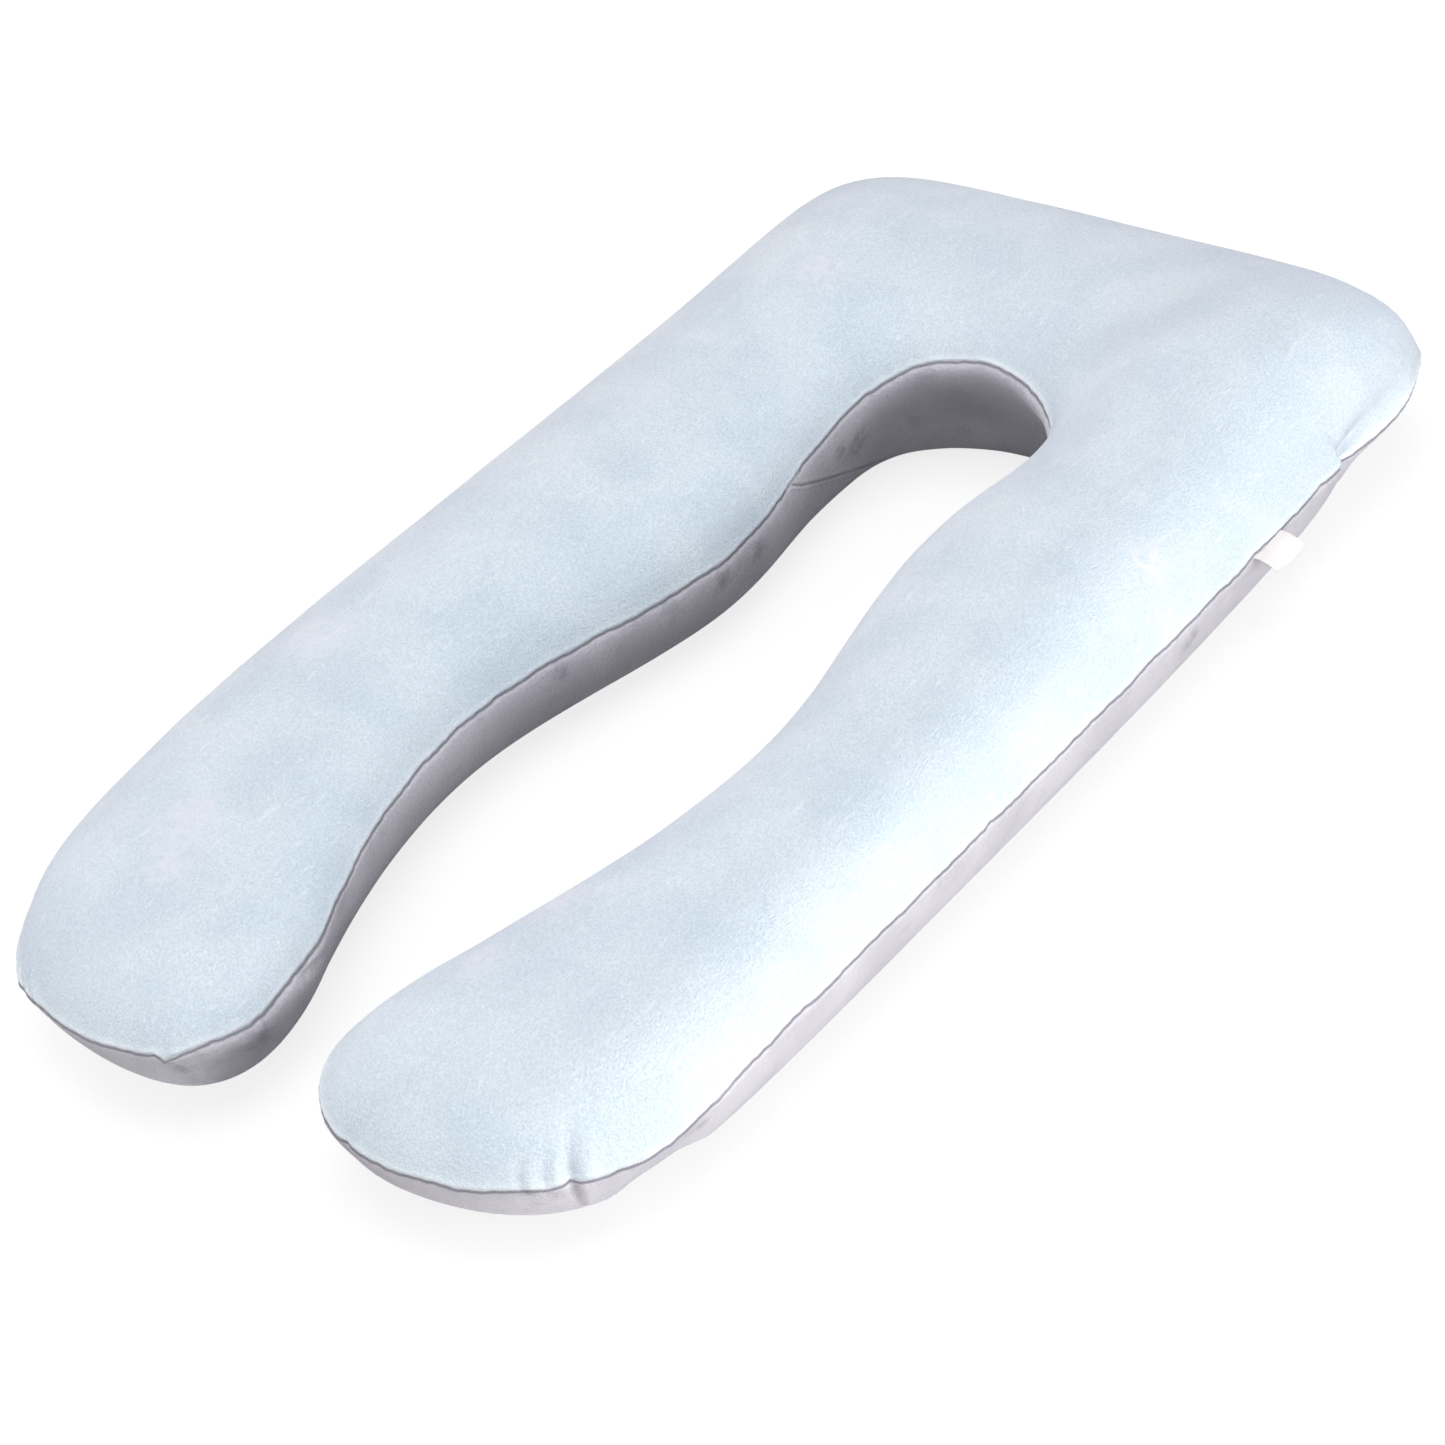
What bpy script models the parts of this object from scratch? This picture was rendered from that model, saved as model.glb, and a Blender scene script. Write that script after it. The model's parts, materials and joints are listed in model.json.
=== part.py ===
"""U-shaped pregnancy pillow: one filled body of grey velvet, a light blue top panel and a sewn-in label.

Metres, +Z up. The pillow lies on its back on the surface, its closed head toward +Y and its two arms
toward -Y. Sizes are read from the photograph, to the nearest few millimetres, and the right half is
mirrored to make the left.
"""

from collections import namedtuple

import bmesh
import bpy
import numpy as np

# A section across the pillow, from the middle of the head, round its corner and down the arm.
# x, y and seam are where the seam passes on the inner and on the outer side, and its height there.
# inset is how far the underside is drawn in, from the seam to where the pillow meets the floor,
# and crown is the height of the pillow between the two sides.
Section = namedtuple("Section", "in_x in_y in_seam in_inset out_x out_y out_seam out_inset crown")
SECTIONS = (
    Section(0.000, 1.005, 0.140, 0.052, 0.000, 1.303, 0.065, 0.100, 0.168),
    Section(0.035, 1.000, 0.135, 0.052, 0.140, 1.297, 0.070, 0.100, 0.170),
    Section(0.065, 0.985, 0.130, 0.052, 0.268, 1.270, 0.080, 0.125, 0.184),
    Section(0.083, 0.965, 0.120, 0.052, 0.322, 1.200, 0.086, 0.135, 0.192),
    Section(0.094, 0.930, 0.112, 0.052, 0.328, 1.085, 0.091, 0.125, 0.190),
    Section(0.096, 0.855, 0.100, 0.052, 0.333, 0.970, 0.095, 0.100, 0.178),
    Section(0.080, 0.735, 0.085, 0.052, 0.336, 0.815, 0.095, 0.088, 0.178),
    Section(0.110, 0.595, 0.088, 0.054, 0.339, 0.645, 0.097, 0.090, 0.170),
    Section(0.134, 0.455, 0.095, 0.060, 0.340, 0.475, 0.098, 0.092, 0.168),
    Section(0.109, 0.305, 0.100, 0.066, 0.340, 0.315, 0.098, 0.092, 0.164),
    Section(0.066, 0.180, 0.100, 0.070, 0.335, 0.190, 0.096, 0.092, 0.152),
)

# The round end of the arm, from its inner to its outer side.
EndPoint = namedtuple("EndPoint", "x y seam inset")
ARM_END = (
    EndPoint(0.043, 0.085, 0.098, 0.085),
    EndPoint(0.074, 0.014, 0.088, 0.095),
    EndPoint(0.162, 0.000, 0.080, 0.110),
    EndPoint(0.262, 0.030, 0.078, 0.112),
    EndPoint(0.317, 0.105, 0.087, 0.110),
)

# The crown's curve from the seam to the ridge: the shoulder's share of the half width and of the
# rise, and the ridge's share of the rise. The smooth surface then rounds as an ellipse does.
SHOULDER_OUT = 0.80
SHOULDER_RISE = 0.80
RIDGE_RISE = 1.10

# The wall's curve from the seam to the floor, a little flatter than an ellipse.
BELLY_SHARE = 0.75

# Where the flat sole starts, as a share of the way from the foot of the wall to the middle.
SOLE_SHARE = 0.35

# The top panel is a velvet sheet over the filled body, a hair apart from it.
PANEL_THICK = 0.0020
PANEL_GAP = 0.0004

SMOOTH_LEVELS = 2

# How near the middle plane a point counts as being on it.
MIDDLE_PLANE_REACH = 0.0001

# The label: a bare tab sewn into the outer seam near the head.
LABEL_WIDE = 0.044
LABEL_THICK = 0.0010
LABEL_MIDDLE_Y = 0.930
LABEL_GAP = 0.0004
# Its fall from the seam: distance out and drop.
LABEL_FALL = ((0.000, 0.0000), (0.006, -0.0003), (0.012, -0.0018), (0.017, -0.0045), (0.021, -0.0080))

BLUE_VELVET = (0.64, 0.75, 0.84)
GREY_VELVET = (0.25, 0.24, 0.28)
LABEL_SATIN = (0.86, 0.83, 0.82)

LAST = len(SECTIONS) - 1
STATIONS = 2 * len(SECTIONS) + len(ARM_END)


def clear_scene():
    """Removes every object of the open file."""
    for old in list(bpy.data.objects):
        bpy.data.objects.remove(old, do_unlink=True)


def seam_points():
    """The seam's points on the right half: inner side, round the arm's end, back up the outer side."""
    inner = [(s.in_x, s.in_y, s.in_seam) for s in SECTIONS]
    end = [(e.x, e.y, e.seam) for e in ARM_END]
    outer = [(s.out_x, s.out_y, s.out_seam) for s in reversed(SECTIONS)]
    return np.array(inner + end + outer)


def ridge_points():
    """The middle of each section, at the height of its crown."""
    return np.array([((s.in_x + s.out_x) / 2, (s.in_y + s.out_y) / 2, s.crown) for s in SECTIONS])


def insets():
    """How far the underside is drawn in at each station of the seam."""
    inner = [s.in_inset for s in SECTIONS]
    end = [e.inset for e in ARM_END]
    outer = [s.out_inset for s in reversed(SECTIONS)]
    return np.array(inner + end + outer)


def ridge_of(station):
    """The section whose middle this station of the seam faces."""
    if station <= LAST:
        return station
    return min(LAST, STATIONS - 1 - station)


def mirrored(point):
    """The same point on the left half."""
    return point * np.array([-1.0, 1.0, 1.0])


def held_out(points, closed_end):
    """Cage points whose smooth curve passes through the given ones.

    The row carries on past x = 0 as its own mirror image, at its start and, with closed_end, at its end.
    The smooth curve cuts inside each point by a sixth of the bend there, so each is pushed out as far.
    """
    after = mirrored(points[-2]) if closed_end else points[-1] * 2 - points[-2]
    row = np.vstack([mirrored(points[1]), points, after])
    return points - (row[:-2] - 2 * points + row[2:]) / 6


def cage():
    """The half cage: arrays of points for the seam, shoulder, belly, foot and sole, and the two ridges."""
    seam = held_out(seam_points(), True)
    ridge = held_out(ridge_points(), False)
    facing = ridge[[ridge_of(k) for k in range(STATIONS)]]
    across = facing - seam
    flat = across * np.array([1.0, 1.0, 0.0])
    inward = flat / np.linalg.norm(flat, axis=1, keepdims=True)
    rise = facing[:, 2] - seam[:, 2]

    shoulder = seam + flat * (1 - SHOULDER_OUT)
    shoulder[:, 2] += rise * SHOULDER_RISE
    drawn_in = inward * insets()[:, None]
    belly = seam + drawn_in * (1 - BELLY_SHARE)
    belly[:, 2] = seam[:, 2] * (1 - BELLY_SHARE)
    foot = seam + drawn_in
    foot[:, 2] = 0.0
    sole = foot + (facing - foot) * SOLE_SHARE
    sole[:, 2] = 0.0

    low_ridge = ridge.copy()
    low_ridge[:, 2] = 0.0
    base = (seam[: len(ridge), 2] + seam[: -len(ridge) - 1 : -1, 2]) / 2
    ridge[:, 2] = base + (ridge[:, 2] - base) * RIDGE_RISE
    return {
        "seam": seam,
        "shoulder": shoulder,
        "ridge": ridge,
        "belly": belly,
        "foot": foot,
        "sole": sole,
        "low_ridge": low_ridge,
    }


def crown_normals(rows):
    """Outward directions of the crown at the seam and the shoulder. Along the ridge it is straight up."""
    normals = {}
    facing = rows["ridge"][[ridge_of(k) for k in range(STATIONS)]]
    across = {"seam": rows["shoulder"] - rows["seam"], "shoulder": facing - rows["seam"]}
    for name in ("seam", "shoulder"):
        row = rows[name]
        wide = np.vstack([mirrored(row[1]), row, mirrored(row[-2])])
        along = wide[2:] - wide[:-2]
        out = np.cross(along, across[name])
        normals[name] = out / np.linalg.norm(out, axis=1, keepdims=True)
    normals["ridge"] = np.tile([0.0, 0.0, 1.0], (len(rows["ridge"]), 1))
    return normals


def sunk_crown(rows, depth):
    """The crown's rows moved into the pillow by a depth."""
    normals = crown_normals(rows)
    return {name: rows[name] - normals[name] * depth for name in ("seam", "shoulder", "ridge")}


def add_points(mesh, row):
    """Adds a row of points and returns their vertices. A point on the mirror plane stays exactly on it."""
    made = []
    for x, y, z in row:
        made.append(mesh.verts.new((0.0 if abs(x) < MIDDLE_PLANE_REACH else x, y, z)))
    return made


def add_strip(mesh, first, second, facing_up):
    """Faces between two rows of vertices, the second row a step further into the pillow.

    Both ways round, a face starts at the same corner, so that a sheet's two sides are split alike.
    """
    for k in range(len(first) - 1):
        after = [first[k + 1], second[k + 1], second[k]]
        if not facing_up:
            after.reverse()
        mesh.faces.new(dict.fromkeys([first[k], *after]))


def fan_out(ridge):
    """The ridge's vertices, repeated so that each faces its station of the seam."""
    return [ridge[ridge_of(k)] for k in range(STATIONS)]


def smooth_object(mesh, name, material, creased):
    """A mirrored and subdivided object from a half cage, with the given rows of edges kept crisp."""
    crease = mesh.edges.layers.float.new("crease_edge")
    for row in creased:
        for first, second in zip(row[:-1], row[1:]):
            mesh.edges.get((first, second))[crease] = 1.0
    data = bpy.data.meshes.new(name)
    mesh.to_mesh(data)
    mesh.free()
    made = bpy.data.objects.new(name, data)
    mirror = made.modifiers.new("left half", "MIRROR")
    mirror.use_axis = (True, False, False)
    mirror.merge_threshold = MIDDLE_PLANE_REACH
    smooth = made.modifiers.new("soft form", "SUBSURF")
    smooth.levels = SMOOTH_LEVELS
    smooth.render_levels = SMOOTH_LEVELS
    data.materials.append(material)
    data.shade_smooth()
    return made


def pillow_body(rows, material):
    """The filled body: its crown under the top panel, drawn-in grey sides and a flat sole."""
    crown = sunk_crown(rows, PANEL_THICK + PANEL_GAP)
    mesh = bmesh.new()
    seam = add_points(mesh, crown["seam"])
    shoulder = add_points(mesh, crown["shoulder"])
    ridge = fan_out(add_points(mesh, crown["ridge"]))
    belly = add_points(mesh, rows["belly"])
    foot = add_points(mesh, rows["foot"])
    sole = add_points(mesh, rows["sole"])
    low_ridge = fan_out(add_points(mesh, rows["low_ridge"]))
    add_strip(mesh, seam, shoulder, True)
    add_strip(mesh, shoulder, ridge, True)
    add_strip(mesh, seam, belly, False)
    add_strip(mesh, belly, foot, False)
    add_strip(mesh, foot, sole, False)
    add_strip(mesh, sole, low_ridge, False)
    return smooth_object(mesh, "pillow_body", material, [seam])


def top_panel(rows, material):
    """The light blue panel: a sheet over the whole crown, cut off square at the seam."""
    under = sunk_crown(rows, PANEL_THICK)
    mesh = bmesh.new()
    seam = add_points(mesh, rows["seam"])
    shoulder = add_points(mesh, rows["shoulder"])
    ridge = fan_out(add_points(mesh, rows["ridge"]))
    under_seam = add_points(mesh, under["seam"])
    under_shoulder = add_points(mesh, under["shoulder"])
    under_ridge = fan_out(add_points(mesh, under["ridge"]))
    add_strip(mesh, seam, shoulder, True)
    add_strip(mesh, shoulder, ridge, True)
    add_strip(mesh, under_seam, under_shoulder, False)
    add_strip(mesh, under_shoulder, under_ridge, False)
    add_strip(mesh, seam, under_seam, False)
    return smooth_object(mesh, "top_panel", material, [seam, under_seam])


def finished_points(pieces):
    """All the points of the pieces, as an array, with their modifiers applied."""
    graph = bpy.context.evaluated_depsgraph_get()
    return np.array([v.co for piece in pieces for v in piece.evaluated_get(graph).data.vertices])


def side_reach(pieces, low_y, high_y):
    """The furthest that the finished pieces reach toward +X between two distances up the pillow."""
    points = finished_points(pieces)
    within = (points[:, 1] > low_y) & (points[:, 1] < high_y)
    return points[within, 0].max()


def seam_label(start_x, material):
    """The bare label: a curved tab whose root is at the outer seam of the right arm."""
    seam_z = min(SECTIONS, key=lambda section: abs(section.out_y - LABEL_MIDDLE_Y)).out_seam
    mesh = bmesh.new()
    edges = []
    for y in (LABEL_MIDDLE_Y - LABEL_WIDE / 2, LABEL_MIDDLE_Y + LABEL_WIDE / 2):
        edges.append([mesh.verts.new((start_x + out, y, seam_z + drop)) for out, drop in LABEL_FALL])
    add_strip(mesh, edges[0], edges[1], True)
    data = bpy.data.meshes.new("seam_label")
    mesh.to_mesh(data)
    mesh.free()
    data.materials.append(material)
    data.shade_smooth()
    made = bpy.data.objects.new("seam_label", data)
    solidify = made.modifiers.new("thickness", "SOLIDIFY")
    solidify.thickness = LABEL_THICK
    solidify.offset = -1.0
    return made


def cloth_material(name, colour, roughness, sheen):
    """A cloth finish: its base colour, roughness and the strength of its pile's sheen."""
    made = bpy.data.materials.new(name)
    made.use_nodes = True
    finish = made.node_tree.nodes["Principled BSDF"].inputs
    finish["Base Color"].default_value = (*colour, 1.0)
    finish["Roughness"].default_value = roughness
    finish["Metallic"].default_value = 0.0
    finish["Sheen Weight"].default_value = sheen
    return made


def main():
    """Builds the three pieces and sets them about the origin, at the middle of the box they fill."""
    clear_scene()
    blue = cloth_material("blue_velvet", BLUE_VELVET, 0.85, 0.6)
    grey = cloth_material("grey_velvet", GREY_VELVET, 0.85, 0.6)
    satin = cloth_material("label_satin", LABEL_SATIN, 0.5, 0.0)
    collection = bpy.data.collections.new("u_shaped_pregnancy_pillow")
    bpy.context.scene.collection.children.link(collection)
    rows = cage()
    pieces = [pillow_body(rows, grey), top_panel(rows, blue)]
    for piece in pieces:
        collection.objects.link(piece)

    label_side = side_reach(pieces, LABEL_MIDDLE_Y - LABEL_WIDE, LABEL_MIDDLE_Y + LABEL_WIDE)
    pieces.append(seam_label(label_side + LABEL_GAP, satin))
    collection.objects.link(pieces[-1])
    points = finished_points(pieces)
    middle = (points.min(axis=0) + points.max(axis=0)) / 2
    for piece in pieces:
        piece.location = (-middle[0], -middle[1], 0.0)


main()
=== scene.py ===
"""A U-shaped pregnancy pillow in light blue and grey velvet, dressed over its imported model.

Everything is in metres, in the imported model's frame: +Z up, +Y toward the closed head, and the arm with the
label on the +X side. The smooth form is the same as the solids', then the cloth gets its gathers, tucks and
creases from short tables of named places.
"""

import json
import logging
import math
from dataclasses import dataclass, field
from enum import Enum
from typing import NamedTuple

import bmesh
import bpy
import numpy as np
from mathutils import Matrix, Vector, noise
from mathutils.kdtree import KDTree

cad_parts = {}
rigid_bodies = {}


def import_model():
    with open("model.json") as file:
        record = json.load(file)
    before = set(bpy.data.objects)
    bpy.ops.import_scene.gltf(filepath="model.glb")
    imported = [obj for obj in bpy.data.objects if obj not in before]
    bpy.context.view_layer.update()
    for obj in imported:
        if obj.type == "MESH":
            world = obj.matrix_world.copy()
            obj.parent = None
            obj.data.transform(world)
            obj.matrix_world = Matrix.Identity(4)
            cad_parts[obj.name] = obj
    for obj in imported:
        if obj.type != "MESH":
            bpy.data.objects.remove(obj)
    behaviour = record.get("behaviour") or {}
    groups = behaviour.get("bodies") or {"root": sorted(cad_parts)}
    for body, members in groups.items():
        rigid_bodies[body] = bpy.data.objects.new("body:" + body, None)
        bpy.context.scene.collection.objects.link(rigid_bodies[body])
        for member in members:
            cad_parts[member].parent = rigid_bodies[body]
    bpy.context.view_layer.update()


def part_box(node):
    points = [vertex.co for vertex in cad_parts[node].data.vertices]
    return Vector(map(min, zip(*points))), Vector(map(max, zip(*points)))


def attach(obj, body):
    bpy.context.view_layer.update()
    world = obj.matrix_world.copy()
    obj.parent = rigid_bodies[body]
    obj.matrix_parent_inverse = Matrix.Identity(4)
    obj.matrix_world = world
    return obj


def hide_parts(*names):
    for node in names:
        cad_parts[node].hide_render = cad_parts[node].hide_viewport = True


LOG = logging.getLogger("pregnancy_pillow")
MM = 0.001
Tree = bpy.types.NodeTree
Socket = bpy.types.NodeSocket


class Cloth(Enum):
    """The two cloths that meet at the seam."""

    TOP = "light blue panel over the crown"
    UNDER = "grey panel round the sides and below"


class Section(NamedTuple):
    """A section across the pillow, as in the solid model."""

    in_x: float
    in_y: float
    in_seam: float
    in_inset: float
    out_x: float
    out_y: float
    out_seam: float
    out_inset: float
    crown: float


class EndPoint(NamedTuple):
    """A point of the seam round the end of an arm, as in the solid model."""

    x: float
    y: float
    seam: float
    inset: float


SECTIONS = (
    Section(0.000, 1.005, 0.140, 0.052, 0.000, 1.303, 0.065, 0.100, 0.168),
    Section(0.035, 1.000, 0.135, 0.052, 0.140, 1.297, 0.070, 0.100, 0.170),
    Section(0.065, 0.985, 0.130, 0.052, 0.268, 1.270, 0.080, 0.125, 0.184),
    Section(0.083, 0.965, 0.120, 0.052, 0.322, 1.200, 0.086, 0.135, 0.192),
    Section(0.094, 0.930, 0.112, 0.052, 0.328, 1.085, 0.091, 0.125, 0.190),
    Section(0.096, 0.855, 0.100, 0.052, 0.333, 0.970, 0.095, 0.100, 0.178),
    Section(0.080, 0.735, 0.085, 0.052, 0.336, 0.815, 0.095, 0.088, 0.178),
    Section(0.110, 0.595, 0.088, 0.054, 0.339, 0.645, 0.097, 0.090, 0.170),
    Section(0.134, 0.455, 0.095, 0.060, 0.340, 0.475, 0.098, 0.092, 0.168),
    Section(0.109, 0.305, 0.100, 0.066, 0.340, 0.315, 0.098, 0.092, 0.164),
    Section(0.066, 0.180, 0.100, 0.070, 0.335, 0.190, 0.096, 0.092, 0.152),
)
ARM_END = (
    EndPoint(0.043, 0.085, 0.098, 0.085),
    EndPoint(0.074, 0.014, 0.088, 0.095),
    EndPoint(0.162, 0.000, 0.080, 0.110),
    EndPoint(0.262, 0.030, 0.078, 0.112),
    EndPoint(0.317, 0.105, 0.087, 0.110),
)


class Crease(NamedTuple):
    """A soft trough in one cloth, which is deepest at its start and fades out toward its end.

    bow is how far its middle swings aside, as a share of its length. A depth below zero makes a ridge.
    """

    cloth: Cloth
    start: tuple
    end: tuple
    width: float
    depth: float
    bow: float = 0.0


class Pinch(NamedTuple):
    """A place where stitching has drawn the seam in, and how far along the seam it shows.

    A depth below zero is a place where the filling pushes the seam out. drop is how far the seam sags there.
    """

    x: float
    y: float
    depth: float
    reach: float
    drop: float = 0.0


class Dent(NamedTuple):
    """A long soft hollow in the crown, seen from above, or a swell where rise is above zero.

    heading is the way its length runs, in degrees from +X.
    """

    x: float
    y: float
    heading: float
    length: float
    width: float
    rise: float


class Undercut(NamedTuple):
    """A stretch of the side, beside a place on the seam, that curls in further low down.

    belly is how far the filling pushes it out just below the seam.
    """

    x: float
    y: float
    half_length: float
    depth: float
    belly: float = 0.0


PINCHES = (
    Pinch(0.317, 0.413, 0.0070, 0.0070),
    Pinch(0.279, -0.599, 0.0060, 0.0042),
    Pinch(0.247, -0.620, 0.0016, 0.0050),
    Pinch(0.300, -0.570, 0.0018, 0.0100),
    Pinch(-0.094, -0.637, -0.0010, 0.0050, 0.0042),
    Pinch(-0.087, -0.632, 0.0000, 0.0100, 0.0034),
    Pinch(-0.101, -0.641, 0.0012, 0.0030, -0.0014),
    Pinch(-0.066, -0.612, 0.0018, 0.0040),
    Pinch(-0.256, -0.628, 0.0020, 0.0050),
    Pinch(0.105, -0.640, 0.0030, 0.0060),
    Pinch(-0.262, -0.622, -0.0055, 0.0350),
    Pinch(0.090, 0.165, -0.0080, 0.0600),
    Pinch(0.100, 0.305, 0.0090, 0.0450),
    Pinch(0.045, -0.575, -0.0040, 0.0500),
    Pinch(0.322, 0.480, -0.0030, 0.0380),
    Pinch(0.303, 0.565, 0.0060, 0.0300),
    Pinch(0.305, -0.548, -0.0045, 0.0420, 0.0085),
    Pinch(0.323, -0.485, -0.0020, 0.0450, 0.0040),
    Pinch(-0.055, -0.582, -0.0025, 0.0480, 0.0048),
    Pinch(-0.070, -0.488, -0.0035, 0.0720, 0.0075),
)

UNDERCUTS = (
    Undercut(0.322, 0.560, 0.125, 0.036),
    Undercut(0.000, 0.354, 0.125, 0.024, 0.010),
    Undercut(-0.115, -0.060, 0.300, 0.000, 0.003),
    Undercut(0.314, -0.530, 0.045, 0.010),
    Undercut(-0.058, -0.555, 0.080, 0.001, 0.007),
    Undercut(0.060, -0.500, 0.090, 0.000, 0.011),
)

CREASES = (
    # The head's right corner: a wide hollow above the seam, which the notch starts, and the slack folds left of it.
    Crease(Cloth.TOP, (0.316, 0.420, 0.098), (0.318, 0.535, 0.104), 0.0105, 0.0125, 0.04),
    Crease(Cloth.TOP, (0.317, 0.428, 0.103), (0.308, 0.500, 0.122), 0.0110, 0.0022),
    Crease(Cloth.TOP, (0.313, 0.413, 0.098), (0.303, 0.404, 0.139), 0.0050, 0.0019, 0.10),
    Crease(Cloth.TOP, (0.315, 0.405, 0.098), (0.306, 0.394, 0.135), 0.0065, -0.0026, 0.10),
    Crease(Cloth.TOP, (0.311, 0.520, 0.108), (0.290, 0.570, 0.125), 0.0060, 0.0022, -0.10),
    Crease(Cloth.TOP, (0.305, 0.534, 0.118), (0.291, 0.520, 0.145), 0.0040, -0.0014, 0.10),
    Crease(Cloth.TOP, (0.301, 0.545, 0.120), (0.290, 0.549, 0.136), 0.0040, -0.0014, 0.00),
    Crease(Cloth.UNDER, (0.317, 0.413, 0.088), (0.296, 0.385, 0.030), 0.0060, 0.0050, 0.10),
    Crease(Cloth.UNDER, (0.318, 0.405, 0.088), (0.306, 0.420, 0.040), 0.0050, 0.0028),
    # The right arm's end: three crescent pleats in the blue, and a fold with a slack oval below the seam.
    Crease(Cloth.TOP, (0.247, -0.620, 0.082), (0.246, -0.608, 0.102), 0.0035, 0.0034, 0.08),
    Crease(Cloth.TOP, (0.251, -0.617, 0.082), (0.250, -0.606, 0.102), 0.0030, -0.0022, 0.08),
    Crease(Cloth.TOP, (0.262, -0.609, 0.078), (0.259, -0.592, 0.106), 0.0045, 0.0040, 0.12),
    Crease(Cloth.TOP, (0.276, -0.596, 0.082), (0.268, -0.566, 0.122), 0.0060, 0.0050, 0.10),
    Crease(Cloth.TOP, (0.284, -0.587, 0.086), (0.283, -0.566, 0.109), 0.0050, -0.0024, 0.05),
    Crease(Cloth.UNDER, (0.279, -0.597, 0.078), (0.256, -0.574, 0.026), 0.0030, 0.0042),
    Crease(Cloth.UNDER, (0.284, -0.590, 0.072), (0.264, -0.570, 0.030), 0.0060, -0.0024),
    Crease(Cloth.UNDER, (0.262, -0.609, 0.072), (0.240, -0.618, 0.068), 0.0055, 0.0070),
    # The left arm's end: a small tuck, a short crease and two steep folds at its outer corner.
    Crease(Cloth.TOP, (-0.094, -0.637, 0.084), (-0.096, -0.634, 0.102), 0.0030, 0.0042),
    Crease(Cloth.TOP, (-0.088, -0.634, 0.084), (-0.088, -0.630, 0.100), 0.0032, -0.0018),
    Crease(Cloth.TOP, (-0.066, -0.611, 0.093), (-0.070, -0.605, 0.108), 0.0026, 0.0026),
    Crease(Cloth.UNDER, (-0.091, -0.635, 0.079), (-0.078, -0.620, 0.058), 0.0050, 0.0040),
    Crease(Cloth.UNDER, (-0.084, -0.630, 0.074), (-0.073, -0.613, 0.062), 0.0040, -0.0016),
    Crease(Cloth.TOP, (-0.242, -0.634, 0.080), (-0.262, -0.616, 0.104), 0.0034, 0.0060, 0.10),
    Crease(Cloth.TOP, (-0.235, -0.634, 0.082), (-0.256, -0.613, 0.108), 0.0040, -0.0030, 0.10),
    Crease(Cloth.TOP, (-0.257, -0.627, 0.080), (-0.277, -0.604, 0.104), 0.0030, 0.0050, 0.10),
    Crease(Cloth.UNDER, (-0.264, -0.627, 0.074), (-0.240, -0.612, 0.040), 0.0050, 0.0040),
    Crease(Cloth.UNDER, (-0.250, -0.632, 0.078), (-0.226, -0.624, 0.060), 0.0040, 0.0026),
    # The sheltered sides: slack places that the filling doesn't reach.
    Crease(Cloth.UNDER, (-0.064, -0.596, 0.072), (-0.061, -0.560, 0.058), 0.0080, 0.0030),
    Crease(Cloth.UNDER, (-0.064, -0.522, 0.096), (-0.078, -0.470, 0.078), 0.0070, 0.0030),
    Crease(Cloth.UNDER, (-0.110, 0.270, 0.060), (-0.100, 0.310, 0.086), 0.0080, 0.0030),
    Crease(Cloth.UNDER, (0.092, -0.644, 0.084), (0.112, -0.618, 0.030), 0.0070, 0.0040),
)

DENTS = (
    Dent(0.060, 0.370, 60.0, 0.110, 0.040, -0.0060),
    Dent(0.122, 0.285, 100.0, 0.085, 0.040, -0.0110),
    Dent(0.282, 0.585, 0.0, 0.032, 0.032, 0.0040),
)

# Places where the pile has been pressed or brushed against its lie: where, and how far the mark reaches.
MARKS = {
    Cloth.TOP: (
        ((-0.206, -0.467, 0.151), 0.046),
        ((-0.186, -0.512, 0.149), 0.038),
        ((-0.266, -0.245, 0.165), 0.052),
        ((0.124, -0.404, 0.145), 0.044),
        ((0.112, -0.487, 0.144), 0.036),
        ((-0.186, 0.362, 0.190), 0.040),
        ((0.296, 0.154, 0.151), 0.034),
    ),
    # On the grey, the marks in slack folds and under the slack seam are partly painted shade.
    Cloth.UNDER: (
        ((-0.111, 0.290, 0.072), 0.024),
        ((-0.107, 0.262, 0.079), 0.014),
        ((-0.096, 0.118, 0.067), 0.018),
        ((-0.095, 0.065, 0.072), 0.016),
        ((-0.132, -0.108, 0.079), 0.015),
        ((-0.056, -0.577, 0.074), 0.022),
        ((-0.084, -0.628, 0.068), 0.013),
        ((0.316, -0.497, 0.070), 0.014),
        ((0.252, -0.616, 0.074), 0.012),
        ((0.322, 0.160, 0.075), 0.018),
    ),
}

# The stitched join of the grey panel inside the U, from the seam down.
JOIN = (
    (-0.0985, 0.182, 0.0945),
    (-0.1026, 0.196, 0.0847),
    (-0.1089, 0.226, 0.0684),
    (-0.1138, 0.256, 0.0533),
    (-0.1183, 0.285, 0.0403),
    (-0.1247, 0.316, 0.0244),
    (-0.1246, 0.341, 0.0158),
    (-0.1171, 0.357, 0.0146),
)


class Softbox(NamedTuple):
    """A soft rectangular light: where it stands, its width and height, its watts and its colour."""

    name: str
    place: tuple
    size: tuple
    power: float
    colour: str


# A far, low key from the right, a card by the floor that lights the grey side, a top light and two weak fills.
SOFTBOXES = (
    Softbox("right_key", (6.4, 0.4, 2.0), (5.2, 1.4), 172.0, "#F7FBFF"),
    Softbox("right_card", (0.85, -0.15, 0.03), (1.8, 0.05), 5.0, "#FFFCFA"),
    Softbox("top_light", (0.6, -0.4, 3.4), (2.6, 2.6), 63.0, "#FFFFFF"),
    Softbox("front_left_fill", (-1.6, -3.0, 0.50), (1.6, 0.8), 36.0, "#FFFFFF"),
    Softbox("left_fill", (-3.0, 1.6, 1.2), (2.2, 1.6), 39.0, "#FFEFEA"),
)


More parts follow.
